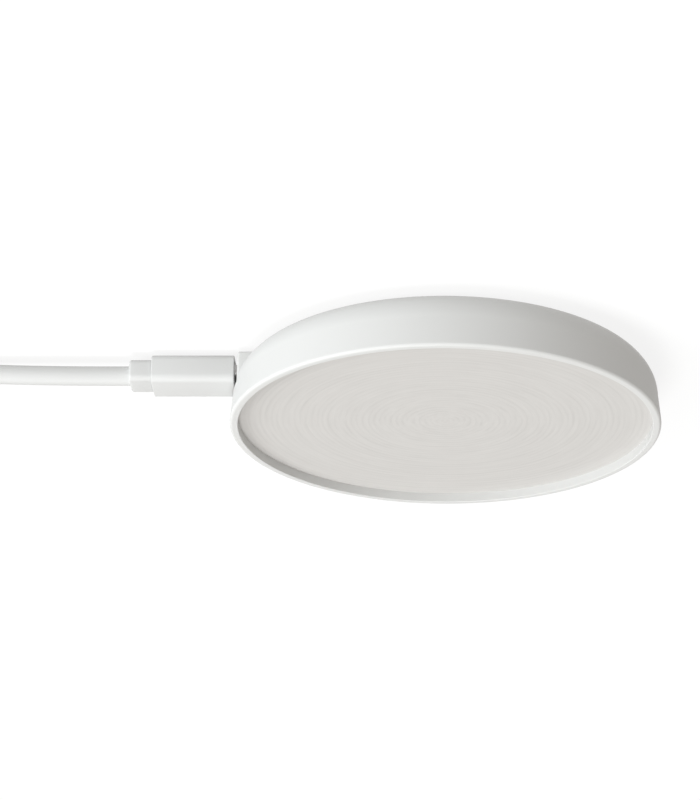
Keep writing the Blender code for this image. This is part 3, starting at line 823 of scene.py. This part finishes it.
MATTE = {  # colour, shade, roughness, grain size and grain depth
    "tape_black": ((0.05, 0.05, 0.05), (0.07, 0.07, 0.07), 0.8, 0.2 * MM, 0.02 * MM),
    "foot_rubber": ((0.46, 0.46, 0.45), (0.42, 0.42, 0.41), 0.7, 0.1 * MM, 0.004 * MM),
    "tray_plastic": ((0.72, 0.72, 0.70), (0.68, 0.68, 0.66), 0.5, 0.1 * MM, 0.003 * MM),
    "ferrite_grey": ((0.06, 0.06, 0.063), (0.09, 0.09, 0.092), 0.55, 0.08 * MM, 0.006 * MM),
    "wire_sleeve": ((0.62, 0.56, 0.45), (0.56, 0.50, 0.40), 0.45, 0.1 * MM, 0.003 * MM),
    "chip_epoxy": ((0.018, 0.018, 0.02), (0.03, 0.03, 0.032), 0.6, 0.06 * MM, 0.004 * MM),
    "capacitor_ceramic": ((0.34, 0.23, 0.13), (0.40, 0.28, 0.17), 0.4, 0.07 * MM, 0.003 * MM),
    "black_nylon": ((0.02, 0.02, 0.021), (0.032, 0.032, 0.033), 0.42, 0.08 * MM, 0.003 * MM),
}
for name, recipe in MATTE.items():
    finishes[name] = matte(name, *recipe)
finishes["coil_copper"] = strands(
    "coil_copper", (0.75, 0.33, 0.15), (0.45, 0.17, 0.07), 0.45 * MM, 0.05 * MM
)
finishes["board_green"] = solder_mask("board_green", (0.012, 0.14, 0.045), (0.02, 0.20, 0.07))
print("finishes:", len(finishes))

# %% [markdown]
# The record says which finish each part takes, so a loop hands them all out. Parts that
# a new piece has replaced are hidden and lose nothing by it.

# %% Give every carried-over part its finish
slot_of = {part["node"]: part["material_slot"] for part in frame["record"]["subparts"]}
for name, node in sorted(frame["nodes"].items()):
    for slot in node.material_slots:
        slot.material = finishes[slot_of[name]]
print("carried-over parts:", sum(1 for node in frame["nodes"].values() if not node.hide_render))

# %% [markdown]
# ## The floor and the light
#
# The studio is a plain white floor in a white, all-round sky. A broad bright patch of
# sky low on the lead's side makes the wall fade from white by the plug to a warm grey
# on the far side, and two large lamps light the rim and the recess. The floor
# glows a little, which keeps the shadow on it pale, and it throws no light back at the
# pad, because that would flatten the fade. It lies a hair below the foot ring.

# %% The floor
WHITE = (1.0, 1.0, 1.0)
FLOOR_LEVEL, FLOOR_HALF = -0.05 * MM, 4.0

pale = Finish("studio_floor", Specular_IOR_Level=0.0, Roughness=1.0)
pale.set(Base_Color=(0.2, 0.2, 0.2), Emission_Color=WHITE, Emission_Strength=0.8)
floor_mesh = bpy.data.meshes.new("floor")
corners = [
    (x * FLOOR_HALF, y * FLOOR_HALF, FLOOR_LEVEL) for x, y in ((-1, -1), (1, -1), (1, 1), (-1, 1))
]
floor_mesh.from_pydata(corners, [], [(0, 1, 2, 3)])
floor_mesh.materials.append(pale.material)
floor = bpy.data.objects.new("floor", floor_mesh)
bpy.context.scene.collection.objects.link(floor)
floor.visible_diffuse = floor.visible_shadow = False
print("floor half-width in m:", FLOOR_HALF)

# %% [markdown]
# The sky's strength is the same all round plus a patch that fades with the angle from
# its middle. The dim part is a little warm and the bright patch a little cool.

# %% The sky
BRIGHT_SIDE = Vector((0.8, -0.5, 0.0)).normalized()
ALL_ROUND, BRIGHT_PATCH = 0.452, 1.06
WARM, COOL = (1.04, 1.0, 0.95), (0.94, 1.0, 1.04)

sky = bpy.data.worlds.new("studio")
sky.use_nodes = True
heaven = Graph(sky.node_tree, "Background")
direction = heaven.node("TexCoord", out="Generated")
facing = heaven.node(
    "VectorMath", {"operation": "DOT_PRODUCT"}, {0: direction, 1: tuple(BRIGHT_SIDE)}, out="Value"
)
lit = heaven.node("Clamp", None, {"Value": 0.5 + 0.5 * facing}) ** 4
tint = heaven.node("Mix", {"data_type": "RGBA"}, {0: lit, 6: WARM, 7: COOL}, out=2)
heaven.set(Color=tint, Strength=ALL_ROUND + BRIGHT_PATCH * lit)
bpy.context.scene.world = sky
print("sky from", ALL_ROUND, "to", round(ALL_ROUND + BRIGHT_PATCH, 3))

# %% [markdown]
# Two square softboxes stand well away from the pad: one low on the lead's side and one
# almost straight above.

# %% The lamps
def lamp(name, place, size, watts, colour):
    """A square softbox that faces the middle of the pad."""
    data = bpy.data.lights.new(name, "AREA")
    data.size = size
    data.energy = watts
    data.color = colour
    light = bpy.data.objects.new(name, data)
    light.location = place
    light.rotation_euler = (-Vector(place)).to_track_quat("-Z", "Y").to_euler()
    bpy.context.scene.collection.objects.link(light)
    print(name, "at", place, "watts:", watts)


lamp("key", (1.15, -0.95, 0.65), 0.7, 9.4, (1.0, 1.0, 0.985))
lamp("overhead", (0.25, -0.15, 1.6), 0.8, 12.8, (0.985, 1.0, 1.01))
bpy.context.scene.view_settings.view_transform = "Standard"

# %% [markdown]
# ## The end
